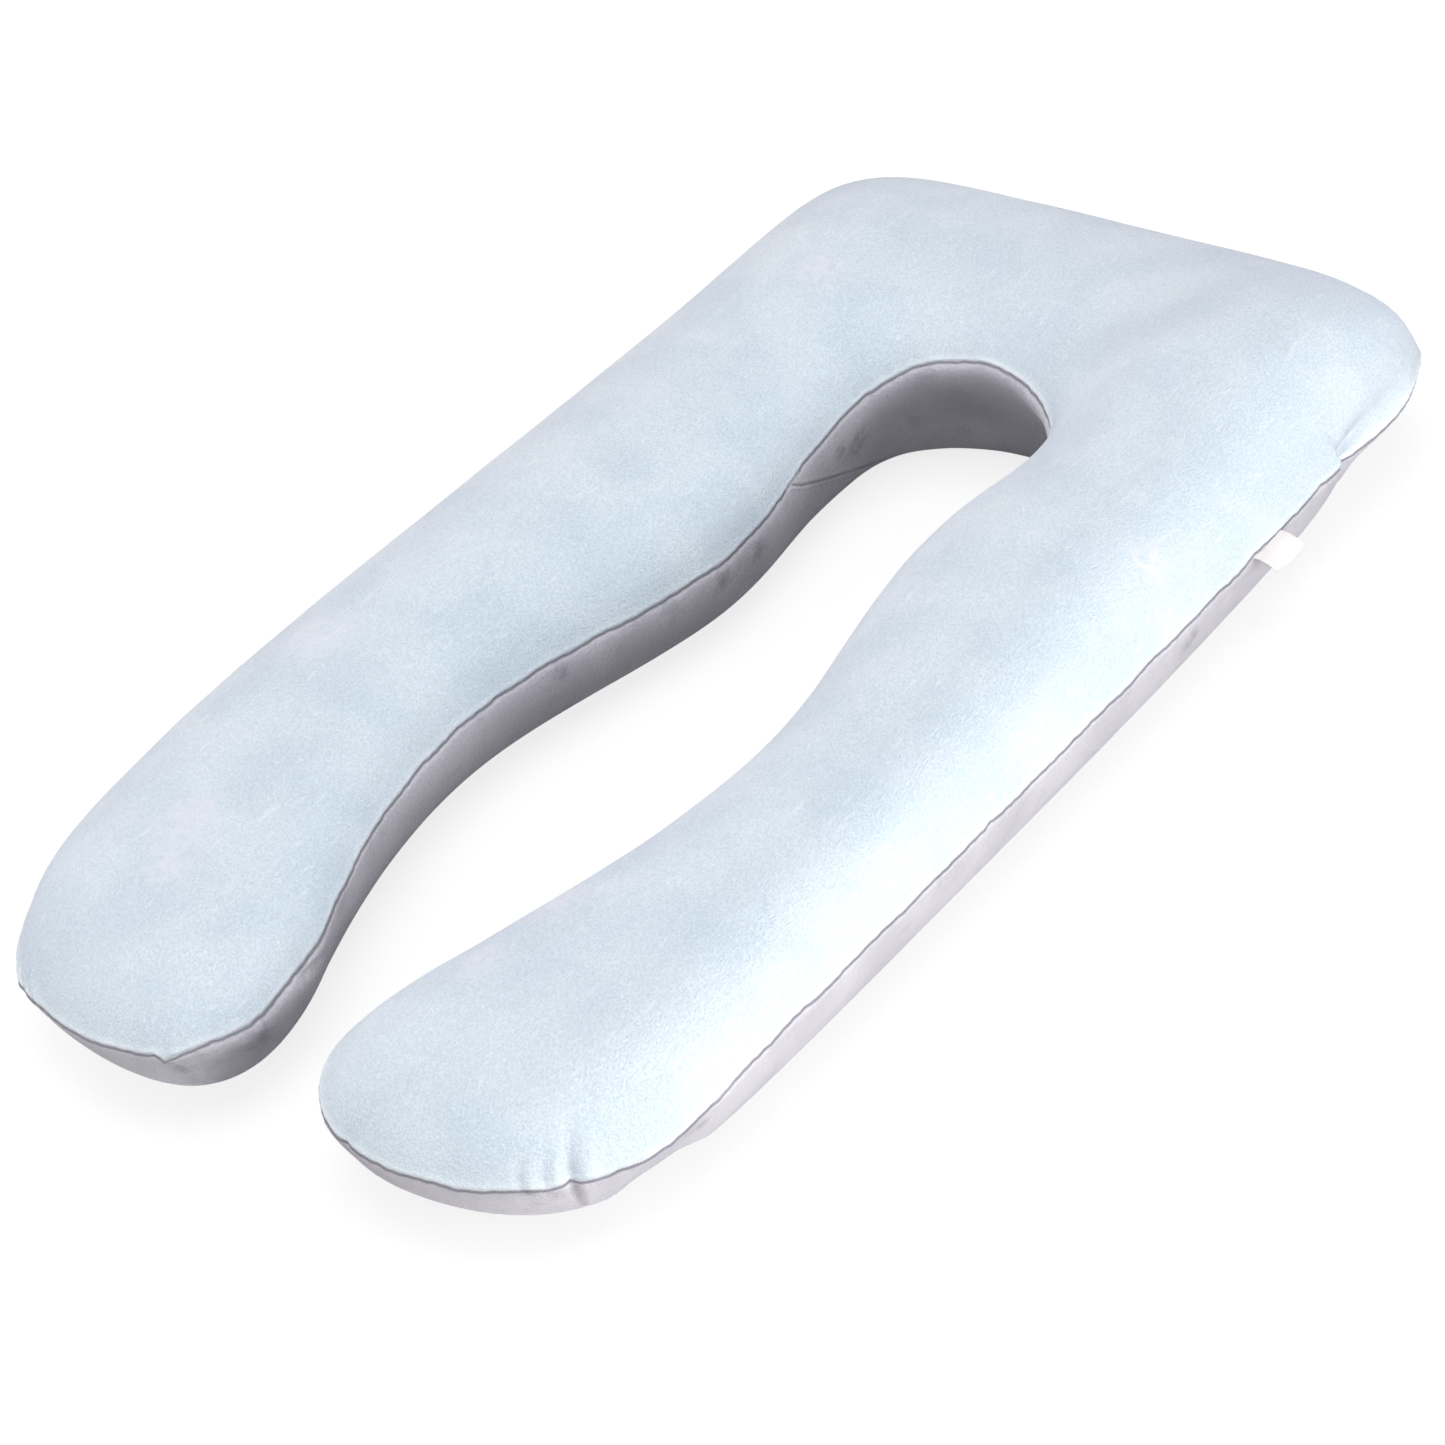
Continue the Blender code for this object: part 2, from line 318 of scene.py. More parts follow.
def to_linear(hex_colour: str) -> tuple[float, float, float, float]:
    """Turns an sRGB hex colour into the linear values a shader takes.

    Args:
        hex_colour: Six hex digits, with or without a leading mark.

    Returns:
        Red, green, blue and an alpha of 1.
    """
    digits = hex_colour.lstrip("#")
    parts = [int(digits[k : k + 2], 16) / 255 for k in (0, 2, 4)]
    linear = [c / 12.92 if c <= 0.04045 else ((c + 0.055) / 1.055) ** 2.4 for c in parts]
    return (*linear, 1.0)


def add_node(tree: Tree, kind: str, settings: dict | None = None, links: dict | None = None) -> bpy.types.Node:
    """Adds one shader node.

    Args:
        tree: The node tree it goes in.
        kind: Blender's name of the node type.
        settings: Values by attribute name, or by the name or number of an input.
        links: Output sockets by the name or number of the input that takes them.

    Returns:
        The new node.
    """
    node = tree.nodes.new(kind)
    for name, value in (settings or {}).items():
        if isinstance(name, int) or name in node.inputs:
            node.inputs[name].default_value = value
        else:
            setattr(node, name, value)
    for name, socket in (links or {}).items():
        tree.links.new(socket, node.inputs[name])
    return node


def mapped(tree: Tree, value: Socket, span: tuple, onto: tuple, ease: str = "LINEAR") -> Socket:
    """Maps one span of a value onto another.

    Args:
        tree: The node tree.
        value: The value's socket.
        span: Its lowest and highest value that count.
        onto: What they become.
        ease: Blender's name of the way between.

    Returns:
        The mapped value's socket.
    """
    settings = {"From Min": span[0], "From Max": span[1], "To Min": onto[0], "To Max": onto[1]}
    settings["interpolation_type"] = ease
    return add_node(tree, "ShaderNodeMapRange", settings, {"Value": value}).outputs["Result"]


def blended(tree: Tree, share: Socket, under: str | Socket, over: str | Socket) -> Socket:
    """Lays one colour over another.

    Args:
        tree: The node tree.
        share: How much of the upper colour shows.
        under: The lower colour, as sRGB hex or a socket.
        over: The upper colour, in the same way.

    Returns:
        The colour's socket.
    """
    settings, links = {"data_type": "RGBA"}, {0: share}
    for slot, colour in ((6, under), (7, over)):
        if isinstance(colour, str):
            settings[slot] = to_linear(colour)
        else:
            links[slot] = colour
    return add_node(tree, "ShaderNodeMix", settings, links).outputs[2]


def stroked(tree: Tree, where: Socket, heading: float, squeeze: float) -> Socket:
    """Turns and squeezes the place that a pattern is drawn at, so that it comes out in strokes.

    Args:
        tree: The node tree.
        where: The place on the cloth.
        heading: The turn in degrees.
        squeeze: The scale across the strokes.

    Returns:
        The new place's socket.
    """
    settings = {"Rotation": (0.0, 0.0, math.radians(heading)), "Scale": (1.0, squeeze, 1.0)}
    return add_node(tree, "ShaderNodeMapping", settings, {"Vector": where}).outputs["Vector"]


def spline_weights(share: np.ndarray) -> np.ndarray:
    """Gives the weights of a smooth curve's four nearest control points.

    Args:
        share: How far along the span each sample is, from 0 to 1.

    Returns:
        Four weights for each sample, which add up to 1.
    """
    back = 1 - share
    near = 3 * share**3 - 6 * share**2 + 4
    far = -3 * share**3 + 3 * share**2 + 3 * share + 1
    return np.stack([back**3, near, far, share**3], axis=-1) / 6


def unit(vectors: np.ndarray) -> np.ndarray:
    """Scales vectors to length 1, and leaves those with no length alone."""
    length = np.linalg.norm(vectors, axis=-1, keepdims=True)
    return vectors / np.maximum(length, 1e-12)


@dataclass
class PillowForm:
    """The smooth form of the filled pillow: control points on stations round the seam loop."""

    shoulder_out: float = 0.80
    shoulder_rise: float = 0.80
    ridge_rise: float = 1.10
    belly_share: float = 0.75
    sole_share: float = 0.35
    loop_steps: int = 2001
    crown_rows: np.ndarray = field(init=False)
    under_rows: np.ndarray = field(init=False)

    def __post_init__(self) -> None:
        """Works out the control points of both cloths for the whole loop."""
        self.last = len(SECTIONS) - 1
        self.half = 2 * len(SECTIONS) + len(ARM_END) - 1
        self.crown_rows, self.under_rows = self._control_rows()

    def _held_out(self, points: np.ndarray, closed_end: bool) -> np.ndarray:
        """Moves points out so that the smooth curve passes through where they were.

        Args:
            points: A row of points from the middle plane round.
            closed_end: Whether the row also ends on the middle plane.

        Returns:
            The control points.
        """
        flip = np.array([-1.0, 1.0, 1.0])
        after = points[-2] * flip if closed_end else points[-1] * 2 - points[-2]
        row = np.vstack([points[1] * flip, points, after])
        return points - (row[:-2] - 2 * points + row[2:]) / 6

    def _across(self, station: int) -> int:
        """Gives the station on the far side of the pillow's ridge."""
        return self.half - station

    def _ridge_of(self, station: int) -> int:
        """Gives the section whose ridge a station of the seam faces."""
        return min(self.last, station, self._across(station))

    def _beyond(self, row: np.ndarray) -> np.ndarray:
        """Carries a row of the half loop over the ridge.

        Args:
            row: Control points beside the ridge, one for each station.

        Returns:
            The control points on the ridge's far side.
        """
        carried = row[::-1].copy()
        middle = (row[self.last] + row[self._across(self.last)]) / 2
        for station in range(self.last + 1, self._across(self.last)):
            carried[station] = 2 * middle - row[station]
        return carried

    def _control_rows(self) -> tuple[np.ndarray, np.ndarray]:
        """Lays out the control rows from the tables.

        Returns:
            The rows of the crown and of the underside, each as stations by rows by 3.
        """
        seam = np.array(
            [(s.in_x, s.in_y, s.in_seam) for s in SECTIONS]
            + [(e.x, e.y, e.seam) for e in ARM_END]
            + [(s.out_x, s.out_y, s.out_seam) for s in reversed(SECTIONS)]
        )
        inset = np.array(
            [s.in_inset for s in SECTIONS]
            + [e.inset for e in ARM_END]
            + [s.out_inset for s in reversed(SECTIONS)]
        )
        tops = np.array([((s.in_x + s.out_x) / 2, (s.in_y + s.out_y) / 2, s.crown) for s in SECTIONS])
        seam = self._held_out(seam, True)
        tops = self._held_out(tops, False)
        facing_index = [self._ridge_of(k) for k in range(self.half + 1)]
        facing = tops[facing_index]
        flat = (facing - seam) * np.array([1.0, 1.0, 0.0])
        drawn_in = unit(flat) * inset[:, None]

        shoulder = seam + flat * (1 - self.shoulder_out)
        shoulder[:, 2] += (facing[:, 2] - seam[:, 2]) * self.shoulder_rise
        base = (seam[: self.last + 1, 2] + seam[: -self.last - 2 : -1, 2]) / 2
        tops[:, 2] = base + (tops[:, 2] - base) * self.ridge_rise
        ridge = tops[facing_index]

        belly = seam + drawn_in * (1 - self.belly_share)
        belly[:, 2] = seam[:, 2] * (1 - self.belly_share)
        foot = seam + drawn_in
        foot[:, 2] = 0.0
        sole = foot + (facing - foot) * self.sole_share
        sole[:, 2] = 0.0
        low_ridge = facing * np.array([1.0, 1.0, 0.0])

        crown = [2 * seam - shoulder, seam, shoulder, ridge, self._beyond(shoulder)]
        under = [2 * seam - belly, seam, belly, foot, sole, low_ridge, self._beyond(sole)]
        return self._whole_loop(np.stack(crown, 1)), self._whole_loop(np.stack(under, 1))

    @staticmethod
    def _whole_loop(half: np.ndarray) -> np.ndarray:
        """Adds the left half, which mirrors the right."""
        left = half[-2:0:-1] * np.array([-1.0, 1.0, 1.0])
        return np.concatenate([half, left])

    def surface(self, cloth: Cloth, around: np.ndarray, along: np.ndarray) -> np.ndarray:
        """Evaluates the smooth surface of one cloth.

        Args:
            cloth: Which cloth.
            around: Places round the seam loop, in stations.
            along: Places from the seam to the ridge, in control rows.

        Returns:
            Points, as around by along by 3.
        """
        rows = self.crown_rows if cloth is Cloth.TOP else self.under_rows
        first = np.floor(around).astype(int)
        index = (first[:, None] + np.arange(-1, 3)) % len(rows)
        columns = np.einsum("na,narc->nrc", spline_weights(around - first), rows[index])
        start = np.minimum(np.floor(along).astype(int), rows.shape[1] - 4)
        picked = columns[:, start[:, None] + np.arange(4)]
        return np.einsum("mb,nmbc->nmc", spline_weights(along - start), picked)

    def spans(self, cloth: Cloth) -> float:
        """Gives how many control rows lie between the seam and the ridge."""
        return 2.0 if cloth is Cloth.TOP else 4.0

    def stations(self, spacing: float) -> np.ndarray:
        """Places columns round the loop, the same on both sides of the ridge so that they meet there.

        Args:
            spacing: The widest gap between columns along the seam.

        Returns:
            Places in stations, from the middle of the head's inner side all the way round.
        """
        fine = np.linspace(0, self.half / 2, self.loop_steps)
        near = self.surface(Cloth.TOP, fine, np.zeros(1))[:, 0]
        far = self.surface(Cloth.TOP, self.half - fine, np.zeros(1))[:, 0]
        steps = np.maximum(
            np.linalg.norm(np.diff(near, axis=0), axis=1),
            np.linalg.norm(np.diff(far, axis=0), axis=1),
        )
        length = np.concatenate([[0.0], np.cumsum(steps)])
        count = int(round(length[-1] / spacing))
        quarter = np.interp(np.linspace(0, length[-1], count + 1), length, fine)
        right = np.concatenate([quarter, self.half - quarter[-2::-1]])
        return np.concatenate([right, 2 * self.half - right[-2:0:-1]])


@dataclass
class ClothGrid:
    """One cloth as columns of points from the seam to the ridge."""

    cloth: Cloth
    points: np.ndarray
    reach: np.ndarray

    @property
    def normals(self) -> np.ndarray:
        """Outward directions. Along the ridge they are straight up, or down for the underside."""
        around = np.roll(self.points, -1, axis=0) - np.roll(self.points, 1, axis=0)
        across = np.gradient(self.points, axis=1)
        up = 1.0 if self.cloth is Cloth.TOP else -1.0
        out = unit(np.cross(around, across)) * up
        out[:, -1] = (0.0, 0.0, up)
        return out


@dataclass
class SewnForm:
    """The pillow's form as two cloth grids on the same columns, with the seam between them."""

    form: PillowForm
    shift: np.ndarray
    spacing: float = 0.0036
    near_rows: tuple = (0.0, 0.7, 1.6, 2.8, 4.3, 6.2, 8.6, 11.6, 15.4, 20.0, 25.5)
    fine_steps: int = 161
    bend_steps: int = 4

    def __post_init__(self) -> None:
        """Places the columns and measures the seam."""
        self.around = self.form.stations(self.spacing)
        self.seam = self.form.surface(Cloth.TOP, self.around, np.zeros(1))[:, 0] + self.shift
        steps = np.linalg.norm(np.roll(self.seam, -1, axis=0) - self.seam, axis=1)
        self.length = steps.sum()
        self.place = np.concatenate([[0.0], np.cumsum(steps)[:-1]])
        tangent = unit(np.roll(self.seam, -1, axis=0) - np.roll(self.seam, 1, axis=0))
        self.outward = unit(np.cross(tangent, np.array([0.0, 0.0, 1.0])))
        turn = np.roll(tangent, -self.bend_steps, axis=0) - np.roll(tangent, self.bend_steps, axis=0)
        run = np.roll(self.place, -self.bend_steps) - np.roll(self.place, self.bend_steps)
        run = np.where(run > 0, run, 2 * self.bend_steps * steps)
        self.bend = np.linalg.norm(turn, axis=1) / np.maximum(run, 1e-6)

    def grid(self, cloth: Cloth, far_rows: int) -> ClothGrid:
        """Samples one cloth: close rows by the seam, then even ones to the ridge.

        Args:
            cloth: Which cloth.
            far_rows: How many rows follow the close ones.

        Returns:
            The cloth's grid.
        """
        along = np.linspace(0, self.form.spans(cloth), self.fine_steps)
        fine = self.form.surface(cloth, self.around, along) + self.shift
        steps = np.linalg.norm(np.diff(fine, axis=1), axis=2)
        far = np.concatenate([np.zeros((len(fine), 1)), np.cumsum(steps, axis=1)], axis=1)
        near = np.array(self.near_rows) * MM
        points = np.empty((len(fine), len(near) + far_rows, 3))
        reach = np.empty(points.shape[:2])
        for k, length in enumerate(far[:, -1]):
            rest = np.linspace(near[-1], length, far_rows + 1)[1:]
            reach[k] = np.concatenate([near, rest])
            for axis in range(3):
                points[k, :, axis] = np.interp(reach[k], far[k], fine[k, :, axis])
        return ClothGrid(cloth, points, reach)

    def place_of(self, x: float, y: float) -> float:
        """Finds how far round the seam the given place is."""
        gap = np.hypot(self.seam[:, 0] - x, self.seam[:, 1] - y)
        return float(self.place[gap.argmin()])

    def from_place(self, place: float) -> np.ndarray:
        """Gives each column's distance along the seam from a place, the short way round."""
        gap = self.place - place
        return (gap + self.length / 2) % self.length - self.length / 2


@dataclass
class Sewing:
    """What stitching and filling do to the cloth: a turned-in seam, gathers, tucks and soft hollows.

    Each reach is how far in from the seam a thing fades out. The lengths of waves are in millimetres. A swell is
    its waves to the metre, the level at which they are cut, and its share.
    """

    sewn: SewnForm
    fade_reach: float = 0.12
    settle_reach: float = 0.004
    turn_in: float = 0.0036
    turn_width: float = 0.0021
    turn_power: float = 1.3
    under_turn_share: float = 0.40
    lip_height: float = 0.0010
    lip_place: float = 0.0040
    lip_width: float = 0.0022
    gather_depth: float = 0.0009
    gather_reach: float = 0.018
    gather_lengths: tuple = (11.0, 15.0, 21.0, 31.0, 47.0)
    seam_wave: float = 0.0012
    wave_out_share: float = 0.6
    wave_reach: float = 0.028
    wave_lengths: tuple = (58.0, 86.0, 131.0)
    seam_ripple: float = 0.00035
    ripple_reach: float = 0.007
    ripple_lengths: tuple = (13.0, 18.0, 26.0)
    uneven_lengths: tuple = (190.0, 310.0)
    ease_on_straights: float = 0.30
    ease_by_bend: float = 0.055
    most_ease: float = 1.3
    tuck_count: int = 130
    tuck_depth: float = 0.0013
    tuck_widths: tuple = (0.0025, 0.0055)
    tuck_reach: float = 0.0060
    furrow_share: float = 0.8
    furrow_reach: float = 0.015
    pinch_power: float = 1.5
    pinch_reach_share: float = 1.8
    least_pinch_reach: float = 0.012
    crease_shoulder: float = 0.6
    crease_narrow: float = 0.7
    crease_fade: float = 0.8
    crease_end: float = 6.0
    crease_side: float = 0.035
    undercut_reach: float = 0.16
    belly_reach: float = 0.026
    soft_swell: float = 0.0011
    swells: tuple = ((7.0, 0.3, 1.0), (19.0, 4.1, 0.45))
    crown_settle_reach: float = 0.03
    seed: int = 11

    def __post_init__(self) -> None:
        """Draws the uneven waves and small tucks that run round the seam."""
        rng = np.random.default_rng(self.seed)
        self.top_gather = self._waves(rng, self.gather_lengths)
        self.under_gather = self._waves(rng, self.gather_lengths)
        self.wave_out = self._waves(rng, self.wave_lengths)
        self.wave_up = self._waves(rng, self.wave_lengths)
        self.ripple_out = self._waves(rng, self.ripple_lengths)
        self.ripple_up = self._waves(rng, self.ripple_lengths)
        unevenness = np.clip(0.5 + 0.5 * self._waves(rng, self.uneven_lengths), 0.1, 1.2)
        ease = self.ease_on_straights + self.ease_by_bend * self.sewn.bend
        self.eased = np.clip(ease, 0, self.most_ease) * unevenness
        self.tucks = self._small_tucks(rng)

    def _waves(self, rng: np.random.Generator, lengths: tuple) -> np.ndarray:
        """Adds up waves that close round the loop.

        Args:
            rng: The seeded source of their heights and starts.
            lengths: Their lengths in millimetres.

        Returns:
            One value for each column, mostly between -1 and 1.
        """
        total = np.zeros(len(self.sewn.place))
        for length in lengths:
            turns = round(self.sewn.length / (length * MM * rng.uniform(0.9, 1.1)))
            height = rng.uniform(0.6, 1.0)
            start = rng.uniform(0, 2 * math.pi)
            total += height * np.sin(2 * math.pi * turns * self.sewn.place / self.sewn.length + start)
        return total / math.sqrt(len(lengths))

    def _small_tucks(self, rng: np.random.Generator) -> np.ndarray:
        """Scatters small narrow tucks round the seam.

        Args:
            rng: The seeded source of their places and depths.

        Returns:
            How far the seam is drawn in at each column.
        """
        total = np.zeros(len(self.sewn.place))
        for place in rng.uniform(0, self.sewn.length, self.tuck_count):
            along = np.abs(self.sewn.from_place(place))
            narrow = rng.uniform(*self.tuck_widths)
            total += rng.uniform(0.2, 1.0) * np.exp(-((along / narrow) ** self.turn_power))
        return self.tuck_depth * total * np.clip(0.5 + self.eased, 0.5, self.most_ease)

    def apply(self, grid: ClothGrid) -> np.ndarray:
        """Moves a cloth's points to where the sewing holds them.

        Args:
            grid: The smooth cloth.

        Returns:
            The moved points.
        """
        fade = np.clip(1 - grid.reach / np.minimum(grid.reach[:, -1:], self.fade_reach), 0, 1) ** 1.5
        moved = grid.points.copy()
        self._draw_in(grid, moved, fade)
        self._wander(grid, moved, fade)
        moved += grid.normals * self._rise(grid, fade)[..., None]
        if grid.cloth is Cloth.UNDER:
            moved -= self.sewn.outward[:, None] * self._undercut(grid)[..., None]
        moved[..., 2] = np.maximum(moved[..., 2], 0.0)
        return moved

    def _draw_in(self, grid: ClothGrid, moved: np.ndarray, fade: np.ndarray) -> None:
        """Turns the seam in, and draws it in or lets it sag at the small tucks and the named pinches.

        Args:
            grid: The smooth cloth.
            moved: Its points so far, which this changes.
            fade: How strongly the seam holds each of them.
        """
        turn_in = self.turn_in * (1.0 if grid.cloth is Cloth.TOP else self.under_turn_share)
        pulled_in = turn_in * np.exp(-((grid.reach / self.turn_width) ** self.turn_power))
        pulled_in = pulled_in + self.tucks[:, None] * np.exp(-grid.reach / self.tuck_reach) * fade
        for pinch in PINCHES:
            along = self.sewn.from_place(self.sewn.place_of(pinch.x, pinch.y))[:, None]
            beside = np.exp(-((np.abs(along) / pinch.reach) ** self.pinch_power))
            inward = max(self.pinch_reach_share * pinch.reach, self.least_pinch_reach)
            held = beside * np.exp(-grid.reach / inward) * fade
            pulled_in = pulled_in + pinch.depth * held
            moved[..., 2] -= pinch.drop * held
        moved -= self.sewn.outward[:, None] * pulled_in[..., None]

    def _wander(self, grid: ClothGrid, moved: np.ndarray, fade: np.ndarray) -> None:
        """Lets the seam wander in slow waves and fine ripples.

        Args:
            grid: The smooth cloth.
            moved: Its points so far, which this changes.
            fade: How strongly the seam holds each of them.
        """
        follow = np.exp(-grid.reach / self.wave_reach) * fade
        close = np.exp(-grid.reach / self.ripple_reach) * fade
        waves_out = self.wave_out_share * self.seam_wave * self.wave_out[:, None] * follow
        waves_out += self.seam_ripple * self.ripple_out[:, None] * close
        waves_up = self.seam_wave * self.wave_up[:, None] * follow
        waves_up += self.seam_ripple * self.ripple_up[:, None] * close
        moved += self.sewn.outward[:, None] * waves_out[..., None]
        moved[..., 2] += waves_up

    def _rise(self, grid: ClothGrid, fade: np.ndarray) -> np.ndarray:
        """Works out how far gathers, tucks, creases and the filling lift the cloth or let it sink.

        Args:
            grid: The smooth cloth.
            fade: How strongly the seam holds each point.

        Returns:
            The rise at each point.
        """
        reach, normals = grid.reach, grid.normals
        gather = self.top_gather if grid.cloth is Cloth.TOP else self.under_gather
        settle = 1 - np.exp(-reach / self.settle_reach)
        rise = self.gather_depth * (self.eased * gather)[:, None] * np.exp(-reach / self.gather_reach)
        rise -= self.furrow_share * self.tucks[:, None] * np.exp(-reach / self.furrow_reach)
        rise = rise * settle * fade
        lip = self.lip_height if grid.cloth is Cloth.TOP else 0.0
        rise += lip * np.exp(-(((reach - self.lip_place) / self.lip_width) ** 2))
        for crease in CREASES:
            if crease.cloth is grid.cloth:
                rise -= self._trough(crease, grid.points, normals) * settle
        if grid.cloth is Cloth.TOP:
            rise += self._crown_relief(grid)
        return rise

    def _trough(self, crease: Crease, points: np.ndarray, normals: np.ndarray) -> np.ndarray:
        """Works out how deep one crease is at each point. It stays on its own side of the pillow.

        Args:
            crease: The crease.
            points: The smooth cloth's points.
            normals: Their outward directions.

        Returns:
            Its depth at each point.
        """
        start = np.array(crease.start)
        run = np.array(crease.end) - start
        length = np.linalg.norm(run)
        from_start = points - start
        share = from_start @ run / length**2
        side = unit(np.cross(normals, run))
        aside = np.einsum("nmc,nmc->nm", from_start, side)
        aside = aside - crease.bow * length * np.sin(math.pi * np.clip(share, 0, 1))
        off = aside / crease.width
        before = np.exp(-((np.minimum(share, 0) * length / crease.width) ** 2))
        left = np.clip(1 - share, 0, 1)
        after = left**self.crease_fade * (1 - np.exp(-left * self.crease_end))
        near = np.abs(np.einsum("nmc,nmc->nm", from_start, normals)) < self.crease_side
        across = (1 - self.crease_shoulder * off**2) * np.exp(-self.crease_narrow * off**2)
        return crease.depth * across * before * after * near

    def _undercut(self, grid: ClothGrid) -> np.ndarray:
        """Works out how far the sides curl in below the seam.

        Args:
            grid: The under cloth.

        Returns:
            The move inward at each point.
        """
        depth = np.zeros(grid.reach.shape)
        low = np.sin(math.pi * np.clip(grid.reach / self.undercut_reach, 0, 1))
        high = grid.reach / self.belly_reach * np.exp(1 - grid.reach / self.belly_reach)
        for undercut in UNDERCUTS:
            along = self.sewn.from_place(self.sewn.place_of(undercut.x, undercut.y))
            beside = np.exp(-((along / undercut.half_length) ** 4))
            depth += beside[:, None] * (undercut.depth * low - undercut.belly * high)
        return depth

    def _crown_relief(self, grid: ClothGrid) -> np.ndarray:
        """Works out the hollows and the slow unevenness of the filling under the crown.

        Args:
            grid: The crown's smooth cloth.

        Returns:
            The rise at each point.
        """
        x, y = grid.points[..., 0], grid.points[..., 1]
        rise = np.zeros(x.shape)
        for dent in DENTS:
            turn = math.radians(dent.heading)
            along = (x - dent.x) * math.cos(turn) + (y - dent.y) * math.sin(turn)
            aside = (y - dent.y) * math.cos(turn) - (x - dent.x) * math.sin(turn)
            rise += dent.rise * np.exp(-((along / dent.length) ** 2) - (aside / dent.width) ** 2)
        slow = np.zeros(x.size)
        for waves, level, share in self.swells:
            places = zip(x.ravel() * waves, y.ravel() * waves)
            slow += share * np.array([noise.noise(Vector((across, up, level))) for across, up in places])
        settle = 1 - np.exp(-grid.reach / self.crown_settle_reach)
        return rise * settle + self.soft_swell * slow.reshape(x.shape) * settle


def shell_object(name: str, columns: np.ndarray, material: bpy.types.Material) -> bpy.types.Object:
    """Builds a closed object from a loop of columns whose two ends meet the opposite columns' ends.

    Args:
        name: The object's name.
        columns: Points, as columns by rows by 3.
        material: Its finish.

    Returns:
        The object, linked to the scene.
    """
    count, rows = columns.shape[:2]
    index = np.arange(count * rows).reshape(count, rows)
    after = np.roll(index, -1, axis=0)
    quads = np.stack([index[:, :-1], after[:, :-1], after[:, 1:], index[:, 1:]], axis=-1).reshape(-1, 4)
    data = bpy.data.meshes.new(name)
    data.from_pydata(columns.reshape(-1, 3).tolist(), [], quads.tolist())
    shaped = bmesh.new()
    shaped.from_mesh(data)
    bmesh.ops.remove_doubles(shaped, verts=shaped.verts, dist=2e-6)
    bmesh.ops.recalc_face_normals(shaped, faces=shaped.faces)
    shaped.to_mesh(data)
    shaped.free()
    data.shade_smooth()
    data.materials.append(material)
    made = bpy.data.objects.new(name, data)
    bpy.context.scene.collection.objects.link(made)
    return made


def store_shares(sheet: bpy.types.Object, name: str, shares: np.ndarray) -> None:
    """Stores one value a vertex on the cloth, for its finish to read."""
    sheet.data.attributes.new(name, "FLOAT", "POINT").data.foreach_set("value", shares)


def mark_edge_highlight_and_shade(
    sheet: bpy.types.Object, edge: np.ndarray, widths: np.ndarray, joined: dict | None = None
) -> None:
    """Marks how near each vertex is to the turned edge, painted as a highlight on the blue and as shade on the
    grey.

    Args:
        sheet: The cloth.
        edge: Points along its sewn edge.
        widths: How far from each of them the effect reaches.
        joined: The same share at the vertices in another stitched line, the join's painted shade.
    """
    tree = KDTree(len(edge))
    for k, place in enumerate(edge):
        tree.insert(place, k)
    tree.balance()
    shares = []
    for vert in sheet.data.vertices:
        _, k, gap = tree.find(vert.co)
        shares.append(max(math.exp(-((gap / widths[k]) ** 2)), (joined or {}).get(vert.index, 0.0)))
    store_shares(sheet, "edge_highlight_and_shade", np.array(shares))


def mark_pressed_pile_and_shade(sheet: bpy.types.Object, cloth: Cloth) -> None:
    """Marks where the pile has been pressed or brushed against its lie, and on the grey painted shade in slack
    folds.

    Args:
        sheet: The cloth's object.
        cloth: Which cloth it is.
    """
    places = np.empty(len(sheet.data.vertices) * 3)
    sheet.data.vertices.foreach_get("co", places)
    shares = np.zeros(len(places) // 3)
    for middle, reach in MARKS[cloth]:
        gap = np.linalg.norm(places.reshape(-1, 3) - middle, axis=1)
        shares = np.maximum(shares, np.exp(-((gap / reach) ** 2)))
    store_shares(sheet, "pressed_pile_and_shade", shares)


@dataclass(frozen=True)
class Clouds:
    """A cloudy pattern in the pile: its size and texture, the span of it that shows, and how strongly."""

    size_mm: float
    detail: float
    roughness: float
    distortion: float
    span: tuple
    strength: float = 1.0

    def draw(self, tree: Tree, where: Socket) -> Socket:
        """Adds the plain pattern to a material.

        Args:
            tree: The material's node tree.
            where: The place on the cloth.

        Returns:
            The pattern's socket.
        """
        settings = {"Scale": 1 / (self.size_mm * MM), "Detail": self.detail}
        settings |= {"Roughness": self.roughness, "Distortion": self.distortion}
        return add_node(tree, "ShaderNodeTexNoise", settings, {"Vector": where}).outputs["Fac"]

    def show(self, tree: Tree, pattern: Socket) -> Socket:
        """Keeps the span of the pattern that shows, with soft edges."""
        return mapped(tree, pattern, self.span, (0.0, self.strength), "SMOOTHSTEP")


